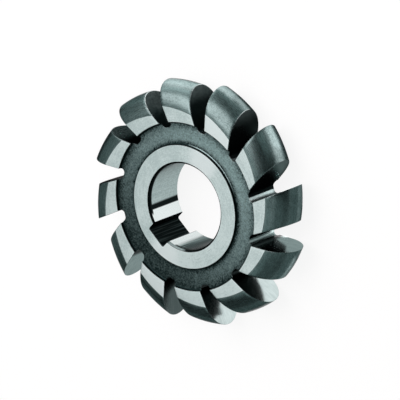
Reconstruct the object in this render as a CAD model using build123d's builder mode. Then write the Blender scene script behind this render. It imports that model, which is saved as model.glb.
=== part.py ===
from build123d import *
from math import asin, degrees, hypot, radians, sin, sqrt
import os

# Convex radius cutter: a disc of hardened steel with twelve form-relieved teeth. Each tooth is a half
# round across its width, and together they mill a concave groove. Lengths are in millimetres and angles
# in degrees. The axis is Z, the lower side face lies on the XY plane and the keyway points towards -Y.

# Form and overall size
form_radius = 6.0
side_grind = 0.015  # ground off each side of the half round, so that the tooth flats end in a crisp edge
cutting_diameter = 63.0
tooth_count = 12

# Bore for an arbor, with its keyway
bore_diameter = 22.0
bore_chamfer = 0.45
keyway_width = 6.0
keyway_depth = 24.1  # from the keyway's floor to the opposite wall of the bore
keyway_fillet = 0.5

# Ring recess in each side face, between the land around the bore and the flats of the teeth
land_diameter = 31.4
recess_diameter = 42.9
recess_depth = 0.8
recess_chamfer = 0.5  # along the foot of both walls

# Teeth, and the gullets between them
rake_angle = 9.0
relief_fall = 2.75  # how far the form falls towards the axis over one tooth pitch
gullet_inset = 1.35  # how far a gullet's floor lies inside the recess's edge
gullet_width = 3.05  # across the gullet at the recess's edge
gullet_angle = 24.5  # between a cutting face and the heel of the tooth ahead of it
gullet_fillet = 0.9

# The side faces are almost tangent to the half round
width = 2 * (form_radius - side_grind)
tip_radius = cutting_diameter / 2
bore_radius = bore_diameter / 2
land_radius = land_diameter / 2
recess_radius = recess_diameter / 2
gullet_floor_radius = recess_radius - gullet_inset
keyway_floor = keyway_depth - bore_radius
pitch_angle = 360 / tooth_count
clear_distance = tip_radius + width  # from the axis, clear of the cutter on every side

# Tooth frame: its X axis is parallel to one cutting face, which misses the axis by face_offset. It is
# turned so that the gullet ahead of that face opens over the keyway.
face_offset = tip_radius * sin(radians(rake_angle))
face_polar_angle = -degrees(asin(face_offset / recess_radius))
gullet_half_span = degrees(asin(gullet_width / 2 / recess_radius))
mid_plane = Plane.XY.offset(width / 2)
axial_plane = Plane(mid_plane.origin, x_dir=(1, 0, 0), z_dir=(0, -1, 0))
tooth_frame = mid_plane.rotated((0, 0, -90 - face_polar_angle - gullet_half_span))

# Flanks of that gullet, and the apex inside the hub where their lines meet
face_direction = Vector(1, 0)
heel_direction = face_direction.rotate(Axis.Z, gullet_angle)
middle_direction = face_direction.rotate(Axis.Z, gullet_angle / 2)
face_foot = Vector(recess_radius, 0).rotate(Axis.Z, face_polar_angle)
heel_foot = face_foot.rotate(Axis.Z, 2 * gullet_half_span)
gullet_apex = heel_foot - heel_direction * ((heel_foot.Y - face_foot.Y) / sin(radians(gullet_angle)))

# Relief: the form is turned about an axis set off from the cutter's own, square to the tip's radius, so
# that it falls steadily from the cutting edge to the heel
tip = Vector(sqrt(tip_radius**2 - face_offset**2), -face_offset)
relief_offset = relief_fall / radians(pitch_angle)
relief_radius = hypot(tip_radius, relief_offset)
relief_origin = tooth_frame.from_local_coords(tip.normalized().rotate(Axis.Z, 90) * relief_offset)
tip_direction = (tooth_frame.from_local_coords(tip) - relief_origin).normalized()

# One tooth with its foot in the hub: the form is revolved past both neighbouring gullets and trimmed
# along their middles
start_direction = tip_direction.rotate(Axis.Z, pitch_angle / 2)
start_plane = Plane(relief_origin, x_dir=start_direction, z_dir=start_direction.cross(Vector(0, 0, 1)))
flat_end = relief_radius - form_radius + sqrt(form_radius**2 - (width / 2) ** 2)

with BuildPart() as tooth:
    with BuildSketch(start_plane):
        with BuildLine():
            Polyline((flat_end, -width / 2), (land_radius, -width / 2),
                     (land_radius, width / 2), (flat_end, width / 2))
            ThreePointArc((flat_end, width / 2), (relief_radius, 0), (flat_end, -width / 2))
        make_face()
    revolve(axis=Axis(relief_origin, (0, 0, -1)), revolution_arc=2 * pitch_angle)
    with BuildSketch(tooth_frame):
        gullet_mouth = gullet_apex + middle_direction * clear_distance
        with BuildLine():
            Polyline(gullet_apex, gullet_mouth, gullet_mouth.rotate(Axis.Z, -pitch_angle),
                     gullet_apex.rotate(Axis.Z, -pitch_angle), close=True)
        make_face()
    extrude(amount=width, both=True, mode=Mode.INTERSECT)

# One gullet in the tooth frame: a V whose floor is concentric with the bore
with BuildSketch() as gullet:
    with BuildLine():
        Polyline(gullet_apex, gullet_apex + face_direction * clear_distance,
                 gullet_apex + heel_direction * clear_distance, close=True)
    make_face()
    Circle(gullet_floor_radius, mode=Mode.SUBTRACT)
    fillet(gullet.vertices().sort_by_distance((0, 0, 0))[:2], gullet_fillet)

with BuildPart() as radius_cutter:
    # Hub with its chamfered bore, reaching into the feet of the teeth
    with BuildSketch(mid_plane):
        Circle(recess_radius + recess_depth)
        Circle(bore_radius, mode=Mode.SUBTRACT)
    extrude(amount=width / 2, both=True)
    bore_wall = radius_cutter.faces().filter_by(GeomType.CYLINDER).sort_by(SortBy.RADIUS)[0]
    chamfer(bore_wall.edges().filter_by(GeomType.CIRCLE), bore_chamfer)

    with PolarLocations(0, tooth_count):
        add(tooth.part)

    # Ring recess in both side faces
    with BuildSketch(axial_plane) as recess:
        with Locations((land_radius, width / 2 - recess_depth)):
            Rectangle(recess_radius - land_radius, width, align=Align.MIN)
        chamfer(recess.vertices().group_by(Axis.Y)[0], recess_chamfer)
        mirror(about=Plane.XZ)
    revolve(axis=Axis.Z, mode=Mode.SUBTRACT)

    with BuildSketch(tooth_frame):
        with PolarLocations(0, tooth_count):
            add(gullet.sketch)
    extrude(amount=width, both=True, mode=Mode.SUBTRACT)

    with BuildSketch(mid_plane) as keyway:
        Rectangle(keyway_width, keyway_floor, align=(Align.CENTER, Align.MAX))
        fillet(keyway.vertices().group_by(Axis.Y)[0], keyway_fillet)
    extrude(amount=width, both=True, mode=Mode.SUBTRACT)

radius_cutter.part.label = "radius_cutter"
os.makedirs("parts", exist_ok=True)
export_step(radius_cutter.part, "parts/radius_cutter.step")
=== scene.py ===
from math import acos, asin, atan2, cos, degrees, hypot, pi, radians, sin, sqrt

import bmesh
import bpy
from mathutils import Matrix, Vector


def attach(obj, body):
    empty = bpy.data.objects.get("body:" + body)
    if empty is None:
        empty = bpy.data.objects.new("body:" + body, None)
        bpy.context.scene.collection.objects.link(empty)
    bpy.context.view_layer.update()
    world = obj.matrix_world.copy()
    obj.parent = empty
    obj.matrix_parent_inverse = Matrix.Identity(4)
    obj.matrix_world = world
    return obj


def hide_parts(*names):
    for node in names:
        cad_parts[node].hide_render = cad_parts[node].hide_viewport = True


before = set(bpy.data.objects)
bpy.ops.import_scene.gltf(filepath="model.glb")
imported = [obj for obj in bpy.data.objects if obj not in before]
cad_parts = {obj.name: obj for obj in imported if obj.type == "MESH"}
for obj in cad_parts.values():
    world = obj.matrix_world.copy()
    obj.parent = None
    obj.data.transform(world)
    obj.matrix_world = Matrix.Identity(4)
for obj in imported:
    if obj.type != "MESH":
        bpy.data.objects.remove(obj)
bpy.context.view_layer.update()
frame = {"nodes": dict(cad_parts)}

millimetre = 0.001
print("frame loaded, nodes:", ", ".join(frame["nodes"]))


# Shader helpers: an expression on Values adds its Math nodes

class Value:
    def __init__(self, graph, socket):
        self.graph, self.socket = graph, socket

    def math(self, operation, *others, clamp=False):
        inputs = dict(enumerate((self,) + others))
        return self.graph.node("ShaderNodeMath", {"operation": operation, "use_clamp": clamp}, inputs)

    def __add__(self, other):
        return self.math("ADD", other)

    __radd__ = __add__

    def __mul__(self, other):
        return self.math("MULTIPLY", other)

    __rmul__ = __mul__

    def __sub__(self, other):
        return self.math("SUBTRACT", other)

    def __rsub__(self, other):
        return self.graph.node("ShaderNodeMath", {"operation": "SUBTRACT"}, {0: other, 1: self})

    def clamped(self):
        return self.math("ADD", 0.0, clamp=True)


class Graph:
    def __init__(self, tree):
        self.tree = tree
        tree.nodes.clear()

    def node(self, kind, settings=None, inputs=None, output=0):
        made = self.tree.nodes.new(kind)
        for name, setting in (settings or {}).items():
            setattr(made, name, setting)
        for key, value in (inputs or {}).items():
            if isinstance(value, Value):
                self.tree.links.new(value.socket, made.inputs[key])
            else:
                isColour = made.inputs[key].type == "RGBA" and len(value) == 3
                made.inputs[key].default_value = tuple(value) + (1.0,) if isColour else value
        return Value(self, made.outputs[output]) if made.outputs else None

    def mixColour(self, first, second, share):
        return self.node("ShaderNodeMix", {"data_type": "RGBA"}, {0: share, 6: first, 7: second}, 2)

    def ramp(self, value, low, high):
        # 0 below low and 1 above high, or the other way round where low is the larger
        limits = {0: value, 1: low, 2: high}
        return self.node("ShaderNodeMapRange", {"interpolation_type": "SMOOTHSTEP"}, limits)

    def vector(self, x, y, z):
        return self.node("ShaderNodeCombineXYZ", {}, {0: x, 1: y, 2: z})

    def noise(self, vector, scale, detail=2.0, roughness=0.5):
        values = {"Vector": vector, "Scale": scale, "Detail": detail, "Roughness": roughness}
        return self.node("ShaderNodeTexNoise", {}, values)

    def locate(self):
        # Where a point of the cutter lies, in metres and radians; height counts from the middle plane
        self.spot = self.node("ShaderNodeTexCoord", {}, {}, "Object")
        self.x, self.y, z = (self.node("ShaderNodeSeparateXYZ", {}, {0: self.spot}, axis)
                             for axis in range(3))
        self.radius = (self.x * self.x + self.y * self.y).math("SQRT")
        self.angle = self.y.math("ARCTAN2", self.x)
        self.height = z - cutter["halfWidth"] * millimetre

    def lines(self, scales):
        # Noise drawn out into lines, with its scales outward, round the axis and along it
        outward, turning, along = scales
        place = self.vector(self.radius * outward, self.angle * turning, self.height * along)
        return self.noise(place, 1.0, 3.0)

    def facing(self, direction):
        # 1 on the side of the axis at this angle in degrees, and -1 on the opposite side
        return (self.angle - radians(direction)).math("COSINE")

    def sector(self, direction, edges):
        # Fades in round the axis towards this direction, between two turns away from it
        return self.ramp(self.facing(direction), *(cos(radians(edge)) for edge in edges))


def newMaterial(name):
    material = bpy.data.materials.new(name)
    material.use_nodes = True
    return material, Graph(material.node_tree)


# The cutter's sizes, in millimetres and degrees, and how finely it is divided
cutter = {
    "teeth": 12,
    "tipRadius": 31.5,
    "formRadius": 6.0,
    "halfWidth": 5.985,
    "boreRadius": 11.0,
    "boreChamfer": 0.45,
    "keyHalfWidth": 3.0,
    "keyFloor": 13.1,
    "keyFillet": 0.5,
    "keyDirection": -90.0,
    "landRadius": 15.7,
    "recessRadius": 21.45,
    "recessDepth": 0.8,
    "footRadius": 0.5,
    "floorRings": (19.3, 17.9),
    "rake": 9.0,
    "reliefFall": 2.75,
    "gulletInset": 1.35,
    "gulletWidth": 3.05,
    "gulletAngle": 24.5,
    "gulletFillet": 0.9,
    "toothColumns": 12,
    "formRows": 40,
    "footRows": 4,
    "faceFilletRows": 2,
    "gulletFilletSteps": 4,
    "gulletFloorSteps": 3,
    "keyWallSteps": 2,
    "keyFilletSteps": 3,
    "crispAngle": 28.0,
    "widestRounding": 0.14,
    "roundingSegments": 2,
}

# How much of the widest rounding each kind of edge gets
edgeRounding = {
    "cutting": 0.45,
    "heel": 0.9,
    "recess": 0.5,
    "gullet": 0.2,
    "land": 0.3,
    "keyway": 0.6,
    "bore": 0.4,
    "throat": 0.1,
}


def polar(radius, angle):
    return Vector((radius * cos(radians(angle)), radius * sin(radians(angle))))


def turned(point, angle):
    return Matrix.Rotation(radians(angle), 2) @ point


def polarAngle(point):
    return degrees(atan2(point.y, point.x))


def signedTurn(angle):
    # The same angle between -180 and 180 degrees
    return (angle + 180) % 360 - 180


def reach(start, direction, centre, radius):
    # Where a line that points outward leaves a circle
    offset = start - centre
    along = offset.dot(direction)
    return start + direction * (sqrt(along * along - offset.length_squared + radius * radius) - along)


def spread(first, last, steps):
    return [first + (last - first) * step / steps for step in range(steps + 1)]


class Tooth:
    # One tooth in its own frame: X runs outward along the cutting face, and the gullet lies above the face

    def __init__(self, c):
        self.c = c
        self.pitch = 360 / c["teeth"]
        self.axis = Vector((0.0, 0.0))
        self.faceOffset = c["tipRadius"] * sin(radians(c["rake"]))
        self.faceAngle = -degrees(asin(self.faceOffset / c["recessRadius"]))
        self.gulletSpan = 2 * degrees(asin(c["gulletWidth"] / 2 / c["recessRadius"]))
        self.turn = c["keyDirection"] - self.faceAngle - self.gulletSpan / 2
        tip = Vector((sqrt(c["tipRadius"] ** 2 - self.faceOffset ** 2), -self.faceOffset))
        reliefOffset = c["reliefFall"] / radians(self.pitch)
        self.reliefCentre = turned(tip.normalized(), 90) * reliefOffset
        self.reliefRadius = hypot(c["tipRadius"], reliefOffset)
        self.floorRadius = c["recessRadius"] - c["gulletInset"]
        fillet = c["gulletFillet"]
        centreRadius = self.floorRadius + fillet
        up = fillet - self.faceOffset
        self.faceFilletCentre = Vector((sqrt(centreRadius ** 2 - up ** 2), up))
        heelDirection = polar(1, c["gulletAngle"])
        heelFoot = polar(c["recessRadius"], self.faceAngle + self.gulletSpan)
        inward = Vector((heelDirection.y, -heelDirection.x)) * fillet
        self.heelFilletCentre = reach(heelFoot + inward, heelDirection, self.axis, centreRadius)
        self.faceTangentRadius = hypot(self.faceFilletCentre.x, self.faceOffset)

    def rows(self):
        # Across the tooth from side to side, as (centre, radius, height): foot of the recess wall, wall,
        # flat, half round and the same again to the other side
        c = self.c
        foot, footHeight = c["footRadius"], c["halfWidth"] - c["recessDepth"] + c["footRadius"]
        side = [(self.axis, c["recessRadius"] - foot + foot * sin(a), footHeight - foot * cos(a))
                for a in spread(0, pi / 2, c["footRows"])]
        side.append((self.axis, c["recessRadius"], c["halfWidth"]))
        steepest = asin(c["halfWidth"] / c["formRadius"])
        inner = self.reliefRadius - c["formRadius"]
        form = [(self.reliefCentre, inner + c["formRadius"] * cos(a), c["formRadius"] * sin(a))
                for a in spread(steepest, -steepest, c["formRows"])]
        return side + form + [(centre, radius, -height) for centre, radius, height in reversed(side)]

    def strips(self):
        # The finish between each row and the next
        side = ["recess"] * self.c["footRows"] + ["wall", "flat"]
        return side + ["form"] * self.c["formRows"] + side[::-1]

    def point(self, share, centre, radius):
        # share is 0 at the cutting face and 1 at the tooth's own heel
        if share == 0 and centre is self.axis and radius < self.faceTangentRadius:
            return self.faceFilletPoint(radius)
        start = polar(self.c["recessRadius"], self.faceAngle + share * (self.gulletSpan - self.pitch))
        return reach(start, polar(1, share * (self.c["gulletAngle"] - self.pitch)), centre, radius)

    def faceFilletTurn(self, radius):
        # Angle at the fillet's centre between the axis and the fillet's point at this radius
        far, near = self.faceFilletCentre.length, self.c["gulletFillet"]
        return degrees(acos((far ** 2 + near ** 2 - radius ** 2) / (2 * far * near)))

    def faceFilletPoint(self, radius):
        toAxis = polarAngle(-self.faceFilletCentre)
        return self.faceFilletCentre + polar(self.c["gulletFillet"], toAxis + self.faceFilletTurn(radius))

    def gulletPoints(self):
        # From the face's fillet over the floor to the heel's fillet, between the feet of the two teeth
        c = self.c
        fillet, filletSteps = c["gulletFillet"], c["gulletFilletSteps"]
        first = self.faceFilletTurn(c["recessRadius"] - c["footRadius"])
        toAxis = polarAngle(-self.faceFilletCentre)
        points = [self.faceFilletCentre + polar(fillet, toAxis + turn)
                  for turn in spread(first, 0, filletSteps)[1:]]
        ends = polarAngle(self.faceFilletCentre), polarAngle(self.heelFilletCentre)
        points += [polar(self.floorRadius, angle) for angle in spread(*ends, c["gulletFloorSteps"])[1:]]
        toAxis = polarAngle(-self.heelFilletCentre)
        points += [self.heelFilletCentre + polar(fillet, angle)
                   for angle in spread(toAxis, c["gulletAngle"] + 90, filletSteps)[1:]]
        return points


class Shell:
    # Collects the cutter's corners, faces and edge roundings in a bmesh, in metres

    finishes = ["flat", "form", "face", "heel", "gullet", "recess", "wall", "land", "chamfer", "bore",
                "keyway", "edge"]

    def __init__(self, midHeight):
        self.mesh = bmesh.new()
        self.rounding = self.mesh.edges.layers.float.new("bevel_weight_edge")
        self.midHeight = midHeight

    def corner(self, point, height):
        return self.mesh.verts.new(Vector((point.x, point.y, self.midHeight + height)) * millimetre)

    def ring(self, angles, radius, height):
        return [self.corner(polar(radius, angle), height) for angle in angles]

    def face(self, corners, finish):
        made = self.mesh.faces.new(corners)
        made.material_index = self.finishes.index(finish)
        made.smooth = True

    def strip(self, first, second, finish, closed=False):
        pairs = list(zip(first, second))
        pairs += pairs[:1] if closed else []
        for (a, b), (d, e) in zip(pairs, pairs[1:]):
            self.face((a, d, e, b), finish)

    def soften(self, chain, kind, closed=False):
        chain = list(chain) + (list(chain[:1]) if closed else [])
        for a, b in zip(chain, chain[1:]):
            self.mesh.edges.get((a, b))[self.rounding] = edgeRounding[kind]


def buildTeeth(shell, tooth):
    c = tooth.c
    rows, strips = tooth.rows(), tooth.strips()
    columns = spread(0, 1, c["toothColumns"])
    teeth = []
    for k in range(c["teeth"]):
        turn = tooth.turn + k * tooth.pitch
        teeth.append([[shell.corner(turned(tooth.point(share, centre, radius), turn), height)
                       for share in columns] for centre, radius, height in rows])
    wallTop = c["footRows"] + 1
    fillet = c["faceFilletRows"]
    last = len(rows) - 1
    for grid in teeth:
        for row, finish in enumerate(strips):
            shell.strip(grid[row], grid[row + 1], finish)
        faceRim = [line[0] for line in grid]
        heelRim = [line[-1] for line in grid]
        for row in range(fillet):  # the lowest part of the face belongs to its fillet
            opposite = last - row
            shell.face((faceRim[row], faceRim[row + 1], faceRim[opposite - 1], faceRim[opposite]), "face")
        shell.face(faceRim[fillet:last - fillet + 1], "face")
        shell.face(heelRim, "heel")
        shell.soften(faceRim[wallTop:last - wallTop + 1], "cutting")
        shell.soften(heelRim[wallTop:last - wallTop + 1], "heel")
        for rim in (faceRim, heelRim):
            shell.soften(rim[:wallTop + 1], "gullet")
            shell.soften(rim[last - wallTop:], "gullet")
        for row in (wallTop, last - wallTop):
            shell.soften(grid[row], "recess")
    return teeth


def buildGullets(shell, tooth, teeth):
    c = tooth.c
    floorHeight = c["halfWidth"] - c["recessDepth"]
    blackFrom = c["gulletFilletSteps"] + 1  # most of the floor is as black as the heel
    gullets = []
    for k, grid in enumerate(teeth):
        ahead = teeth[(k + 1) % len(teeth)]
        points = [turned(point, tooth.turn + k * tooth.pitch) for point in tooth.gulletPoints()]
        sides = [[shell.corner(point, height) for point in points]
                 for height in (floorHeight, -floorHeight)]
        front, back = ([grid[row][0]] + side + [ahead[row][-1]] for row, side in zip((0, -1), sides))
        shell.strip(front[:blackFrom + 1], back[:blackFrom + 1], "gullet")
        shell.strip(front[blackFrom:], back[blackFrom:], "heel")
        shell.soften(front, "gullet")
        shell.soften(back, "gullet")
        gullets.append(sides)
    return gullets


def buildRecess(shell, c, outline, side):
    # Recess floor and the wall of the land on one side, out to the teeth and gullets; gives the land's edge
    floorHeight = side * (c["halfWidth"] - c["recessDepth"])
    outlineAngles = [polarAngle(corner.co) for corner in outline]
    steps = [360 * i / len(outline) for i in range(len(outline))]
    drift = [signedTurn(angle - outlineAngles[0] - step) for angle, step in zip(outlineAngles, steps)]
    start = outlineAngles[0] + sum(drift) / len(drift)
    angles = [start + step for step in steps]  # evenly spaced, while the outline bunches in the gullets
    halfway = [angle + signedTurn(even - angle) / 2 for angle, even in zip(outlineAngles, angles)]
    rings = [outline] + [shell.ring(turns, radius, floorHeight)
                         for turns, radius in zip((halfway, angles), c["floorRings"])]
    foot = c["footRadius"]
    for a in spread(0, pi / 2, c["footRows"]):
        height = floorHeight + side * foot * (1 - cos(a))
        rings.append(shell.ring(angles, c["landRadius"] + foot - foot * sin(a), height))
    for outer, inner in zip(rings, rings[1:]):
        shell.strip(outer, inner, "recess", closed=True)
    landEdge = shell.ring(angles, c["landRadius"], side * c["halfWidth"])
    shell.strip(rings[-1], landEdge, "wall", closed=True)
    shell.soften(landEdge, "land", closed=True)
    return landEdge, angles


def keywayPoints(c, steps):
    # Across the keyway from one mouth corner to the other, with its direction along X
    mouth = c["boreRadius"] + c["boreChamfer"]
    half, fillet = c["keyHalfWidth"], c["keyFillet"]
    bend = c["keyFloor"] - fillet
    start = sqrt(mouth ** 2 - half ** 2)
    near = [Vector((along, -half)) for along in spread(start, bend, c["keyWallSteps"])]
    near += [Vector((bend, fillet - half)) + polar(fillet, angle)
             for angle in spread(-90, 0, c["keyFilletSteps"])[1:]]
    far = [Vector((point.x, -point.y)) for point in reversed(near)]
    between = steps + 1 - len(near) - len(far)
    return near + spread(near[-1], far[0], between + 1)[1:-1] + far


def buildRim(shell, c, landEdge, angles, side):
    # Land and the rim of the bore and keyway, with the ring turned to start at the keyway's mouth
    topHeight = side * c["halfWidth"]
    mouthRadius = c["boreRadius"] + c["boreChamfer"]
    mouthTurn = degrees(asin(c["keyHalfWidth"] / mouthRadius))
    offsets = [signedTurn(angle - c["keyDirection"]) for angle in angles]
    start = min(range(len(offsets)), key=lambda i: abs(offsets[i] + mouthTurn))
    end = min(range(len(offsets)), key=lambda i: abs(offsets[i] - mouthTurn))
    steps = (end - start) % len(offsets)
    order = [(start + i) % len(offsets) for i in range(len(offsets))]
    keyRim = [shell.corner(turned(point, c["keyDirection"]), topHeight) for point in keywayPoints(c, steps)]
    openAngles = [angles[i] for i in order[steps + 1:]]
    boreRim = shell.ring(openAngles, mouthRadius, topHeight)
    shell.strip([landEdge[i] for i in order], keyRim + boreRim, "land", closed=True)

    # Chamfer, from the far mouth corner round to the near one
    chamferHeight = topHeight - side * c["boreChamfer"]
    throat = sqrt(c["boreRadius"] ** 2 - c["keyHalfWidth"] ** 2)
    far, near = (shell.corner(turned(Vector((throat, across)), c["keyDirection"]), chamferHeight)
                 for across in (c["keyHalfWidth"], -c["keyHalfWidth"]))
    chamferRim = [far] + shell.ring(openAngles, c["boreRadius"], chamferHeight) + [near]
    mouthRim = [keyRim[-1]] + boreRim + [keyRim[0]]
    shell.strip(mouthRim, chamferRim, "chamfer")
    shell.soften(mouthRim, "bore")
    shell.soften(chamferRim, "throat")
    shell.soften(keyRim, "keyway")
    return keyRim, chamferRim


def buildBore(shell, c, front, back):
    (frontKey, frontBore), (backKey, backBore) = front, back
    wall = c["keyWallSteps"]
    shell.strip(frontBore, backBore, "bore")
    shell.strip(frontKey[wall:-wall], backKey[wall:-wall], "keyway")
    for key, bore in ((slice(0, wall + 1), -1), (slice(-1, -wall - 2, -1), 0)):
        shell.face([*frontKey[key], *reversed(backKey[key]), backBore[bore], frontBore[bore]], "keyway")
        shell.soften((backBore[bore], frontBore[bore]), "keyway")


def buildCutter():
    c = cutter
    tooth = Tooth(c)
    shell = Shell(c["halfWidth"])
    teeth = buildTeeth(shell, tooth)
    gullets = buildGullets(shell, tooth, teeth)
    rims = []
    for side, row, gulletSide in ((1, 0, 0), (-1, -1, 1)):
        outline = []
        for grid, gullet in zip(teeth, gullets):
            outline += grid[row][::-1] + gullet[gulletSide]
        rims.append(buildRim(shell, c, *buildRecess(shell, c, outline, side), side))
    buildBore(shell, c, *rims)
    mesh = shell.mesh
    bmesh.ops.recalc_face_normals(mesh, faces=mesh.faces)
    for edge in mesh.edges:  # corners that no rounding softens stay crisp
        crisp = edge.calc_face_angle(0) > radians(c["crispAngle"]) and edge[shell.rounding] == 0
        edge.smooth = not crisp
    data = bpy.data.meshes.new("radiusCutter")
    mesh.to_mesh(data)
    mesh.free()
    piece = bpy.data.objects.new("radiusCutter", data)
    bpy.context.scene.collection.objects.link(piece)
    bevel = piece.modifiers.new("edgeRounding", "BEVEL")
    bevel.limit_method = "WEIGHT"
    bevel.width = c["widestRounding"] * millimetre
    bevel.segments = c["roundingSegments"]
    bevel.material = Shell.finishes.index("edge")
    bevel.use_clamp_overlap = False
    shading = piece.modifiers.new("evenShading", "WEIGHTED_NORMAL")
    shading.keep_sharp = True
    return piece


# What each finish looks like. Names that end in At are directions round the axis in degrees, those in Edges
# the turns away from them between which something fades in, and those in Scales how fine its lines are in
# each direction. Other pairs are also where something fades in: radii and heights in metres, angles from
# the keyway in degrees, and as contrast the part of the noise over which the shade turns into the colour
steels = {
    "ground": {
        "colour": (0.685, 0.790, 0.782), "shade": (0.508, 0.615, 0.609), "edge": 0.8, "roughness": 0.30,
        "roughnessRange": 0.12, "relief": 0.08, "contrast": (0.43, 0.65),
        "lineScales": (9000.0, 3.0, 9000.0), "clouds": 180.0, "grain": 2800.0,
        # painted light and shade by the side of the axis, and a painted sheen in two opposite fans
        "drift": 0.04, "paintedSideLightAt": -29.8,
        "paintedSheen": (0.81, 0.885, 0.885), "paintedFanAt": 108.0, "paintedFanEdges": (22.0, 7.0), "paintedFan": 0.8,
    },
    "form": {
        "colour": (0.143, 0.204, 0.202), "shade": (0.078, 0.115, 0.113), "edge": 0.4, "roughness": 0.28,
        "roughnessRange": 0.12, "relief": 0.08, "contrast": (0.43, 0.65),
        "lineScales": (6000.0, 3.0, 6000.0), "clouds": 180.0, "grain": 2800.0,
        # painted light and shade by the side of the axis
        "drift": -0.022, "paintedSideLightAt": -29.8,
    },
    "face": {
        "colour": (0.585, 0.675, 0.67), "shade": (0.49, 0.575, 0.57), "edge": 0.8, "roughness": 0.15,
        "roughnessRange": 0.06, "relief": 0.03, "contrast": (0.38, 0.62),
        "lineScales": (150.0, 2.0, 3000.0), "clouds": 500.0,
        # painted shade at the root
        "root": (0.010, 0.014, 0.014), "paintedRootShadeFade": (0.0220, 0.0236),
    },
    "heel": {
        "colour": (0.060, 0.080, 0.079), "shade": (0.007, 0.010, 0.010), "edge": 0.2, "roughness": 0.5,
        "roughnessRange": 0.2, "relief": 0.2, "coarse": 500.0, "fine": 1800.0,
        # painted light and shade by the side of the cutter, and a painted pale corner
        "greyTip": (0.0256, 0.0292), "paintedGreyAt": 130.0, "paintedGreyEdges": (87.1, 63.3),
        "paintedPalestAt": 180.0, "paintedPalestEdges": (36.9, 21.6), "paintedPalestReach": 0.003,
        "paintedDarkestAt": 155.0, "paintedDarkestEdges": (31.8, 14.1), "paintedDarkestLoss": 0.65,
        "paintedPale": (0.185, 0.235, 0.233), "paintedPaleCorner": (0.0233, 0.0292),
        "paintedPaleAt": 73.0, "paintedPaleEdges": (29.5, 14.1),
    },
    "gullet": {
        "colour": (0.46, 0.56, 0.555), "shade": (0.014, 0.020, 0.020), "edge": 0.6, "roughness": 0.42,
        "roughnessRange": 0.1, "relief": 0.1, "lineScales": (2000.0, 60.0, 100.0),
        # painted light: bright towards one side of the cutter
        "paintedHighlightAt": 45.0, "paintedHighlightEdges": (48.7, 25.8),
    },
    "recess": {
        "colour": (0.300, 0.426, 0.424), "shade": (0.008, 0.017, 0.017), "edge": 0.4, "roughness": 0.42,
        "roughnessRange": 0.2, "relief": 0.35, "coarse": 500.0, "grain": 1400.0, "fine": 2800.0,
        # painted light on one side, painted shade along both walls and a painted glint at the land's foot
        "pale": 0.445, "paintedPalerBy": 0.35, "paintedPalestAt": 97.0,
        "innerHalf": (0.0158, 0.0174), "outerHalf": (0.0220, 0.0186),
        "paintedShadeInner": (0.0158, 0.0162), "paintedShadeOuter": (0.0213, 0.0209),
        "glintInner": (0.01582, 0.01592), "glintOuter": (0.01612, 0.01600), "glintEdges": (36.9, 18.2),
        "glint": 0.7,
    },
    "wall": {
        # painted shade: black in the corners of the recess
        "colour": (0.014, 0.020, 0.020), "shade": (0.007, 0.010, 0.010), "edge": 0.2, "roughness": 0.5,
        "roughnessRange": 0.2, "relief": 0.2, "contrast": (0.38, 0.62), "grain": 900.0,
    },
    "chamfer": {
        "colour": (0.20, 0.26, 0.26), "shade": (0.007, 0.010, 0.010), "edge": 0.2, "roughness": 0.5,
        "roughnessRange": 0.2, "relief": 0.2, "fine": 2000.0, "lighterAt": -62.0, "lighterEdges": (17.3, 9.9),
    },
    "bore": {
        "colour": (0.43, 0.525, 0.52), "shade": (0.006, 0.010, 0.010), "edge": 0.5, "roughness": 0.24,
        "roughnessRange": 0.1, "relief": 0.06, "contrast": (0.3, 0.7), "streakContrast": (0.35, 0.65),
        "grain": 1800.0, "lineScales": (60.0, 300.0), "streakScales": (24.0, 90.0),
        # painted highlight bands, a painted dark line, painted dusk and painted shade along the chamfer
        "dull": (0.30, 0.385, 0.38), "paintedDusk": (0.05, 0.075, 0.075), "paintedHighlight": (0.82, 0.89, 0.885),
        "paintedDarkLine": (38.0, 41.0), "paintedDarkLineSlant": 1.5,
        "paintedDuskFade": (80.0, 60.0), "paintedDuskStreaks": (44.0, 30.0),
        "paintedSharpBand": (32.7, 31.2), "paintedSoftBand": (33.0, 24.0), "paintedRimShadeStart": (24.0, 29.0),
        "paintedRimShadeHeight": (0.00478, 0.00505), "paintedRimShadeDeep": (42.0, 66.0), "paintedRimShadeDeeper": 0.0014,
    },
    "keyway": {
        "colour": (0.050, 0.066, 0.066), "shade": (0.006, 0.009, 0.009), "edge": 0.2, "roughness": 0.5,
        "relief": 0.2, "contrast": (0.45, 0.72), "lineScales": (3200.0, 60.0),
    },
    "edge": {
        # rubbed paler than the blackened steel and partly a painted rim highlight; painted black as shade
        # round the bore
        "colour": (0.22, 0.275, 0.275), "shade": (0.105, 0.14, 0.14), "edge": 0.6, "roughness": 0.25,
        "roughnessRange": 0.2, "relief": 0.2, "contrast": (0.38, 0.62), "grain": 800.0,
        "paintedShadeBlack": (0.010, 0.014, 0.014), "paintedShadeFade": (0.0115, 0.0118),
    },
}
reliefDepth = 0.00004  # of the bump at full strength, in metres


def steelValues(facts, colour, texture):
    # All the steel is bare metal: its texture gives the relief and varies the roughness, and the edge value
    # dims its reflection at a glancing angle
    roughness = facts["roughness"]
    if "roughnessRange" in facts:
        roughness = roughness + (texture - 0.5) * facts["roughnessRange"]
    bump = {"Strength": facts["relief"], "Distance": reliefDepth, "Height": texture}
    return {
        "Base Color": colour,
        "Metallic": 1.0,
        "Roughness": roughness,
        "Specular Tint": (facts["edge"],) * 3,
        "Normal": texture.graph.node("ShaderNodeBump", {}, bump),
    }


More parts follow.
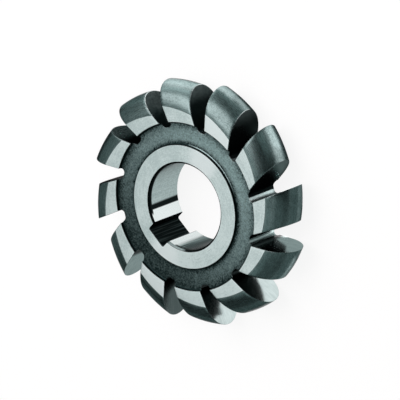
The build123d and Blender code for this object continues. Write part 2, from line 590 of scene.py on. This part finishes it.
def groundFinish(graph, facts):
    # Fine grinding lines round the axis
    lines = graph.lines(facts["lineScales"])
    clouds = graph.noise(graph.spot, facts["clouds"], 3.0, 0.6)
    grain = graph.noise(graph.spot, facts["grain"], 2.0, 0.6)
    # painted light and shade: a little lighter towards one side of the axis and darker towards the other
    drift = graph.facing(facts["paintedSideLightAt"]) * facts["drift"]
    share = graph.ramp(lines * 0.35 + clouds * 0.35 + grain * 0.4 + drift, *facts["contrast"])
    colour = graph.mixColour(facts["shade"], facts["colour"], share)
    if "paintedSheen" in facts:  # painted sheen: the flat rings of lines are drawn paler in two opposite fans, where they would gather the light
        twice = (graph.angle - radians(facts["paintedFanAt"])) * 2.0
        paintedFan = graph.ramp(twice.math("COSINE"), *(cos(2 * radians(edge)) for edge in facts["paintedFanEdges"]))
        colour = graph.mixColour(colour, facts["paintedSheen"], paintedFan * facts["paintedFan"])
    return steelValues(facts, colour, lines)


def faceFinish(graph, facts):
    # Ground almost to a mirror, in lines along the face, and painted black at the root as shade
    lines = graph.lines(facts["lineScales"])
    clouds = graph.noise(graph.spot, facts["clouds"], 3.0, 0.6)
    share = graph.ramp(lines * 0.6 + clouds * 0.4, *facts["contrast"])
    colour = graph.mixColour(facts["shade"], facts["colour"], share)
    # painted shade: the face turns black towards its root
    colour = graph.mixColour(facts["root"], colour, graph.ramp(graph.radius, *facts["paintedRootShadeFade"]))
    return steelValues(facts, colour, lines)


def mottledFinish(graph, facts):
    # Fine and uneven, as hardening leaves it; the edges are painted black as shade where they run round the
    # bore
    coarse = graph.noise(graph.spot, facts["grain"], 4.0, 0.6)
    fine = graph.noise(graph.spot, facts["grain"] * 3, 2.0, 0.5)
    share = graph.ramp(coarse * 0.5 + fine * 0.5, *facts["contrast"])
    colour = graph.mixColour(facts["shade"], facts["colour"], share)
    if "paintedShadeBlack" in facts:
        colour = graph.mixColour(facts["paintedShadeBlack"], colour, graph.ramp(graph.radius, *facts["paintedShadeFade"]))
    return steelValues(facts, colour, fine)


def broachedFinish(graph, facts):
    # Blackened over the long marks of the broach
    across, along = facts["lineScales"]
    lines = graph.noise(graph.vector(graph.x * across, graph.y * across, graph.height * along), 1.0, 3.0)
    colour = graph.mixColour(facts["shade"], facts["colour"], graph.ramp(lines, *facts["contrast"]))
    return steelValues(facts, colour, lines)


def heelFinish(graph, facts):
    # Black at the root and rubbed grey towards the tip; painted light and shade make some teeth paler, some
    # darker
    coarse = graph.noise(graph.spot, facts["coarse"], 4.0, 0.6)
    fine = graph.noise(graph.spot, facts["fine"], 2.0, 0.5)
    # painted light and shade: heels on one side paler, on another darker, and grey at the tip only on some
    # sides
    paintedPalest = graph.sector(facts["paintedPalestAt"], facts["paintedPalestEdges"])
    paintedDarkest = graph.sector(facts["paintedDarkestAt"], facts["paintedDarkestEdges"])
    tip = graph.ramp(graph.radius + paintedPalest * facts["paintedPalestReach"], *facts["greyTip"])
    tip = tip * graph.sector(facts["paintedGreyAt"], facts["paintedGreyEdges"])
    uneven = (coarse - 0.5) * 0.5 + (fine - 0.5) * 0.9
    share = tip * (1.0 - paintedDarkest * facts["paintedDarkestLoss"]) + uneven * (tip * 0.8 + 0.2)
    colour = graph.mixColour(facts["shade"], facts["colour"], share.clamped())
    # painted light: a pale patch at the tip's far corner of the heels on one side
    paintedPale = graph.ramp(graph.radius - graph.height * 0.7 + fine * 0.001, *facts["paintedPaleCorner"])
    paintedPale = paintedPale * paintedPale * graph.sector(facts["paintedPaleAt"], facts["paintedPaleEdges"])
    colour = graph.mixColour(colour, facts["paintedPale"], paintedPale)
    return steelValues(facts, colour, fine)


def gulletFinish(graph, facts):
    # Milled bright, shown only in the gullets on one side of the cutter as painted light; black elsewhere
    lines = graph.lines(facts["lineScales"])
    # painted light: bright only towards one side of the cutter
    paintedHighlight = graph.sector(facts["paintedHighlightAt"], facts["paintedHighlightEdges"])
    share = (paintedHighlight * (lines * 0.5 + 0.75)).clamped()
    colour = graph.mixColour(facts["shade"], facts["colour"], share)
    return steelValues(facts, colour, lines)


def recessFinish(graph, facts):
    # Blackened and mottled: palest along the middle of the ring, with painted light on one side and painted
    # shade, black, along both walls
    def within(inner, outer):
        return graph.ramp(graph.radius, *facts[inner]) * graph.ramp(graph.radius, *facts[outer])

    # painted light: paler towards one side of the cutter
    paleAndPaintedLight = graph.facing(facts["paintedPalestAt"]) * facts["paintedPalerBy"] + facts["pale"]
    coarse = graph.noise(graph.spot, facts["coarse"], 3.0, 0.6)
    grain = graph.noise(graph.spot, facts["grain"], 2.0, 0.6)
    fine = graph.noise(graph.spot, facts["fine"], 2.0, 0.6)
    uneven = (coarse - 0.5) * 0.3 + (grain - 0.5) * 0.8 + (fine - 0.5) * 1.2
    share = within("innerHalf", "outerHalf") * paleAndPaintedLight + uneven * (paleAndPaintedLight * 0.7 + 0.3)
    # painted shade: black along both walls
    share = share * within("paintedShadeInner", "paintedShadeOuter")
    glint = within("glintInner", "glintOuter")  # painted glint along the land's foot
    share = share + glint * graph.sector(facts["paintedPalestAt"], facts["glintEdges"]) * facts["glint"]
    colour = graph.mixColour(facts["shade"], facts["colour"], share.clamped())
    return steelValues(facts, colour, fine)


def boreFinish(graph, facts):
    # Ground steel, with a painted highlight in a band along each side of the keyway: beyond the band there
    # is a painted dark line on one side and painted dusk on the wall on the other, and painted shade black
    # along the chamfer
    fromKeyway = graph.angle - radians(cutter["keyDirection"])
    away = fromKeyway.math("COSINE").math("ARCCOSINE")

    def fade(name, turn=away):
        return graph.ramp(turn, *(radians(angle) for angle in facts[name]))

    def drawn(name):
        turning, along = facts[name]
        return graph.noise(graph.vector(away * turning, 0.0, graph.height * along), 1.0, 3.0)

    # painted shade: a dusky wall on one side of the keyway
    paintedDuskSide = graph.ramp(fromKeyway.math("SINE"), -0.05, 0.05) * fade("paintedDuskFade")
    lines = drawn("lineScales")
    streaks = graph.ramp(drawn("streakScales"), *facts["streakContrast"])
    grain = graph.ramp(graph.noise(graph.spot, facts["grain"], 3.0, 0.6), *facts["contrast"])
    wall = graph.mixColour(facts["dull"], facts["colour"], grain * 0.6 + streaks * 0.4)
    # painted dark line beyond the band
    slanted = away + graph.height * facts["paintedDarkLineSlant"]
    wall = graph.mixColour(facts["shade"], wall, fade("paintedDarkLine", slanted))
    paintedDusk = graph.mixColour(facts["paintedDusk"], facts["dull"], streaks * fade("paintedDuskStreaks"))
    colour = graph.mixColour(wall, paintedDusk, paintedDuskSide)
    # painted highlight: the band along the keyway
    paintedSharpBand, paintedSoftBand = fade("paintedSharpBand"), fade("paintedSoftBand")
    colour = graph.mixColour(colour, facts["paintedHighlight"], paintedSharpBand + (paintedSoftBand - paintedSharpBand) * paintedDuskSide)
    # painted shade: the wall black along the chamfer, deeper on the dusky side
    paintedRimShadeDeeper = paintedDuskSide * fade("paintedRimShadeDeep") * facts["paintedRimShadeDeeper"]
    rim = graph.ramp(graph.height + paintedRimShadeDeeper, *facts["paintedRimShadeHeight"]) * fade("paintedRimShadeStart")
    colour = graph.mixColour(colour, facts["shade"], rim)
    return steelValues(facts, colour, lines)


def chamferFinish(graph, facts):
    # Black, and lighter beside the keyway
    fine = graph.noise(graph.spot, facts["fine"], 2.0, 0.5)
    lighter = graph.sector(facts["lighterAt"], facts["lighterEdges"])
    colour = graph.mixColour(facts["shade"], facts["colour"], lighter)
    return steelValues(facts, colour, fine)


def finishMaterials():
    # One material for each finish of the shell, from its maker and its facts
    makers = {
        "flat": (groundFinish, "ground"),
        "form": (groundFinish, "form"),
        "face": (faceFinish, "face"),
        "heel": (heelFinish, "heel"),
        "gullet": (gulletFinish, "gullet"),
        "recess": (recessFinish, "recess"),
        "wall": (mottledFinish, "wall"),
        "land": (groundFinish, "ground"),
        "chamfer": (chamferFinish, "chamfer"),
        "bore": (boreFinish, "bore"),
        "keyway": (broachedFinish, "keyway"),
        "edge": (mottledFinish, "edge"),
    }
    for name in Shell.finishes:
        finish, facts = makers[name]
        material, graph = newMaterial(name + "Steel")
        graph.locate()
        steel = graph.node("ShaderNodeBsdfPrincipled", {}, finish(graph, steels[facts]))
        graph.node("ShaderNodeOutputMaterial", {}, {"Surface": steel})
        yield material


# Floor, light and what the steel reflects; lengths in metres and angles in degrees
studio = {
    "floorHalf": 1.5,
    "floorHeight": -0.0003,
    "floorPaint": (0.9, 0.9, 0.9),
    "floorGlow": 0.88,
    "ambient": 0.6,
    "white": (1.0, 1.0, 1.0),
    "lampColour": (1.0, 0.93, 0.93),
    "lamp": {"turn": 253.0, "rise": 56.0, "distance": 0.6, "size": (0.52, 0.62), "power": 3.35},
    "brightColour": (1.0, 0.88, 0.885),  # cards and mats brighter than brightFrom
    "brightFrom": 2.45,
    "dimColour": (0.86, 1.0, 0.99),  # and those dimmer than dimBelow
    "dimBelow": 1.0,
    "cardDistance": 0.8,
    "cardColumns": 24,
    "cardRows": 8,
    "cards": {  # sheets in the sky: (azimuths), (elevations) and brightness
        "lowCard": ((-20.0, 40.0), (0.0, 28.0), 0.12),
        "lowSideCard": ((40.0, 120.0), (0.0, 28.0), 0.25),
        "frontCard": ((-20.0, 40.0), (28.2, 46.0), 0.06),
        "highCard": ((0.0, 40.0), (46.0, 72.0), 0.7),
        "leftCard": ((280.2, 340.0), (0.0, 40.0), 0.37),
        "leftHighCard": ((310.0, 329.0), (40.2, 50.0), 0.18),
        "zenithCard": ((40.0, 200.0), (75.2, 89.5), 0.08),
        "frontZenithCard": ((-40.0, 40.0), (72.3, 89.5), 0.45),
        "backZenithCard": ((200.2, 319.0), (82.0, 89.5), 0.5),
        "sideCard": ((40.0, 120.0), (28.0, 64.0), 0.38),
        "tallCard": ((120.0, 160.0), (0.0, 75.0), 0.05),
        "bandCard": ((160.0, 186.0), (0.0, 34.0), 0.62),
        "aboveBandCard": ((160.2, 186.0), (34.2, 75.0), 0.12),
        "besideBandCard": ((186.0, 206.0), (0.0, 45.0), 0.3),
        "cornerCard": ((206.0, 222.0), (0.0, 30.0), 0.2),
        "underLampCard": ((238.0, 280.0), (0.0, 14.0), 2.2),
        # five cards stand for the lamp's own face, dimmer at one lower corner
        "lampLowCard": ((227.0, 250.0), (27.5, 40.5), 1.3),
        "lampSideCard": ((250.0, 279.0), (27.5, 40.5), 3.6),
        "lampMiddleCard": ((213.0, 286.0), (40.5, 53.0), 3.6),
        "lampCard": ((211.0, 294.0), (53.0, 67.0), 3.6),
        "lampTopCard": ((200.2, 313.0), (67.0, 82.0), 3.6),
    },
    "matHeight": -0.00015,
    "mats": {  # sheets on the floor: (azimuths), (radii) and brightness
        "rightMat": ((151.0, 168.0), (0.0340, 0.080), 2.7),
        "rightNearMat": ((168.0, 184.0), (0.0335, 0.054), 4.4),
        "upperMat": ((184.0, 206.0), (0.0320, 0.0390), 2.5),
        "upperFarMat": ((184.0, 207.0), (0.0480, 0.091), 0.42),
        "cornerFarMat": ((207.0, 227.0), (0.0480, 0.091), 0.85),
        "cornerMat": ((206.0, 228.0), (0.0320, 0.046), 3.8),
        "leftMat": ((228.0, 258.0), (0.0335, 0.060), 4.6),
        "leftFarMat": ((228.0, 268.0), (0.0605, 0.25), 2.9),
        "besideLeftMat": ((268.0, 285.0), (0.0335, 0.25), 0.65),
        "darkMat": ((285.0, 320.0), (0.0335, 0.25), 0.12),
        "sideRimMat": ((62.0, 107.4), (0.0335, 0.0364), 3.1),
        "cornerRimMat": ((107.6, 151.0), (0.0305, 0.0349), 1.0),
        "dimMat": ((-40.0, 62.0), (0.042, 0.25), 0.45),
        "dimSideMat": ((62.0, 107.4), (0.0365, 0.25), 0.45),
        "dimCornerMat": ((107.6, 151.0), (0.0350, 0.25), 0.4),
        "underMat": ((154.0, 206.0), (0.0180, 0.0319), 0.2),
        "farMat": ((151.0, 228.0), (0.092, 0.25), 0.35),
        # from here on, seen in the cutting faces, the heels and the gullets
        "sideGapMat": ((117.6, 138.0), (0.015, 0.0304), 0.46),
        "gulletMat": ((110.6, 117.5), (0.0195, 0.0304), 2.4),
        "upperGulletMat": ((138.2, 151.0), (0.0185, 0.0290), 2.0),
        "brightGapMat": ((84.2, 107.5), (0.018, 0.0334), 1.15),
        "tipGapMat": ((71.8, 84.2), (0.0286, 0.0334), 1.0),
        "rootGapMat": ((71.8, 84.2), (0.018, 0.0286), 0.05),
        "cornerGapMat": ((56.0, 71.8), (0.018, 0.0334), 1.1),
        "lowGapMat": ((29.0, 44.4), (0.020, 0.0350), 0.15),
        "lowGapEndMat": ((44.4, 50.0), (0.020, 0.0350), 0.04),
        "farGapMat": ((-14.0, 15.0), (0.020, 0.0380), 0.42),
        "heelGapMat": ((226.0, 260.0), (0.0195, 0.0320), 3.0),
    },
    "patchHeight": -0.0001,
    "patches": {  # small sheets over the mats: four corners in millimetres and brightness
        "rootPatch": (((8.0, 9.0), (17.1, 9.0), (8.0, 20.0), (19.4, 12.8)), 0.05),
    },
}

cameraFacts = {
    "azimuth": 159.07,
    "elevation": 49.66,
    "roll": -110.64,
    "distance": 0.96864,
    "aim": (0.000938, 0.003149, 0.009188),
    "lens": 353.28,
    "sensor": 36.0,
    "clip": (0.05, 20.0),
}


def seenRays(graph):
    # 1 for rays that come from the camera, a reflection or glass
    camera, glossy, transmission = (graph.node("ShaderNodeLightPath", {}, {}, name)
                                    for name in ("Is Camera Ray", "Is Glossy Ray", "Is Transmission Ray"))
    return (camera + glossy + transmission).clamped()


def makeWorld():
    world = bpy.data.worlds.new("studioWorld")
    world.use_nodes = True
    bpy.context.scene.world = world
    graph = Graph(world.node_tree)
    seen = seenRays(graph)
    strength = seen + (1 - seen) * studio["ambient"]
    glow = graph.node("ShaderNodeBackground", {}, {"Color": studio["white"], "Strength": strength})
    graph.node("ShaderNodeOutputWorld", {}, {"Surface": glow})


def makeFloor():
    half, height = studio["floorHalf"], studio["floorHeight"]
    corners = [(x, y, height) for x, y in ((-half, -half), (half, -half), (half, half), (-half, half))]
    data = bpy.data.meshes.new("floor")
    data.from_pydata(corners, [], [(0, 1, 2, 3)])
    floor = bpy.data.objects.new("floor", data)
    bpy.context.scene.collection.objects.link(floor)
    material, graph = newMaterial("floorWhite")
    paint = graph.node("ShaderNodeBsdfDiffuse", {}, {"Color": studio["floorPaint"]})
    glow = graph.node("ShaderNodeEmission", {}, {"Color": studio["white"], "Strength": 1.0})
    seen = seenRays(graph) * studio["floorGlow"]
    above = graph.node("ShaderNodeMixShader", {}, {0: seen, 1: paint, 2: glow})
    clear = graph.node("ShaderNodeBsdfTransparent")  # lets the underside be looked at
    fromBelow = graph.node("ShaderNodeNewGeometry", output="Backfacing")
    surface = graph.node("ShaderNodeMixShader", {}, {0: fromBelow, 1: above, 2: clear})
    graph.node("ShaderNodeOutputMaterial", {}, {"Surface": surface})
    floor.data.materials.append(material)


def towards(turn, rise, distance):
    # A point seen from the cutter at this azimuth and elevation; azimuth 0 is on the keyway's side
    turn, rise = radians(turn), radians(rise)
    return Vector((sin(turn) * cos(rise), -cos(turn) * cos(rise), sin(rise))) * distance


def makeLamp():
    facts = studio["lamp"]
    middle = Vector((0, 0, cutter["halfWidth"] * millimetre))
    data = bpy.data.lights.new("keyLamp", "AREA")
    data.shape = "RECTANGLE"
    data.size, data.size_y = facts["size"]
    data.energy = facts["power"]
    data.color = studio["lampColour"]
    lamp = bpy.data.objects.new("keyLamp", data)
    lamp.location = towards(facts["turn"], facts["rise"], facts["distance"])
    lamp.rotation_euler = (middle - lamp.location).to_track_quat("-Z", "Y").to_euler()
    lamp.visible_camera = lamp.visible_glossy = False  # cards stand in for it in reflections
    bpy.context.scene.collection.objects.link(lamp)


def glowMaterial(name, strength):
    tint = "white"
    if strength > studio["brightFrom"]:
        tint = "brightColour"
    elif strength < studio["dimBelow"]:
        tint = "dimColour"
    material, graph = newMaterial(name)
    glow = graph.node("ShaderNodeEmission", {}, {"Color": studio[tint], "Strength": strength})
    graph.node("ShaderNodeOutputMaterial", {}, {"Surface": glow})
    return material


def makePanel(name, rows, strength):
    # A sheet through rows of points that shows only in reflections, as a photographer's card does
    width = len(rows[0])
    corners = [point for row in rows for point in row]
    faces = [(i * width + j, i * width + j + 1, (i + 1) * width + j + 1, (i + 1) * width + j)
             for i in range(len(rows) - 1) for j in range(width - 1)]
    data = bpy.data.meshes.new(name)
    data.from_pydata(corners, [], faces)
    data.materials.append(glowMaterial(name + "Glow", strength))
    panel = bpy.data.objects.new(name, data)
    panel.visible_camera = panel.visible_diffuse = panel.visible_shadow = panel.visible_transmission = False
    bpy.context.scene.collection.objects.link(panel)


def makePanels():
    columns, rows = studio["cardColumns"], studio["cardRows"]
    for name, (turns, rises, strength) in studio["cards"].items():
        makePanel(name, [[towards(turn, rise, studio["cardDistance"]) for turn in spread(*turns, columns)]
                         for rise in spread(*rises, rows)], strength)
    drop = Vector((0, 0, studio["matHeight"]))
    for name, (turns, radii, strength) in studio["mats"].items():
        makePanel(name, [[towards(turn, 0, radius) + drop for turn in spread(*turns, columns)]
                         for radius in radii], strength)
    for name, (corners, strength) in studio["patches"].items():
        points = [Vector((x * millimetre, y * millimetre, studio["patchHeight"])) for x, y in corners]
        makePanel(name, [points[:2], points[2:]], strength)


def makeCamera():
    back = towards(cameraFacts["azimuth"], cameraFacts["elevation"], 1)
    turn, roll = radians(cameraFacts["azimuth"]), radians(cameraFacts["roll"])
    level = Vector((cos(turn), sin(turn), 0))
    right = level * cos(roll) + back.cross(level) * sin(roll)
    axes = Matrix((right, back.cross(right), back)).transposed()
    data = bpy.data.cameras.new("camera")
    data.lens = cameraFacts["lens"]
    data.sensor_width = cameraFacts["sensor"]
    data.clip_start, data.clip_end = cameraFacts["clip"]
    camera = bpy.data.objects.new("camera", data)
    bpy.context.scene.collection.objects.link(camera)
    spot = Vector(cameraFacts["aim"]) + back * cameraFacts["distance"]
    camera.matrix_world = Matrix.Translation(spot) @ axes.to_4x4()
    bpy.context.scene.camera = camera


makeCamera()
print("camera placed")

piece = buildCutter()
for material in finishMaterials():
    piece.data.materials.append(material)
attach(piece, "root")
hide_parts("radius_cutter")
print("cutter built:", len(piece.data.vertices), "corners and", len(piece.data.polygons), "faces unrounded")

makeFloor()
makeWorld()
makeLamp()
makePanels()
bpy.context.scene.view_settings.view_transform = "Standard"
print("floor, world, lamp and panels placed")
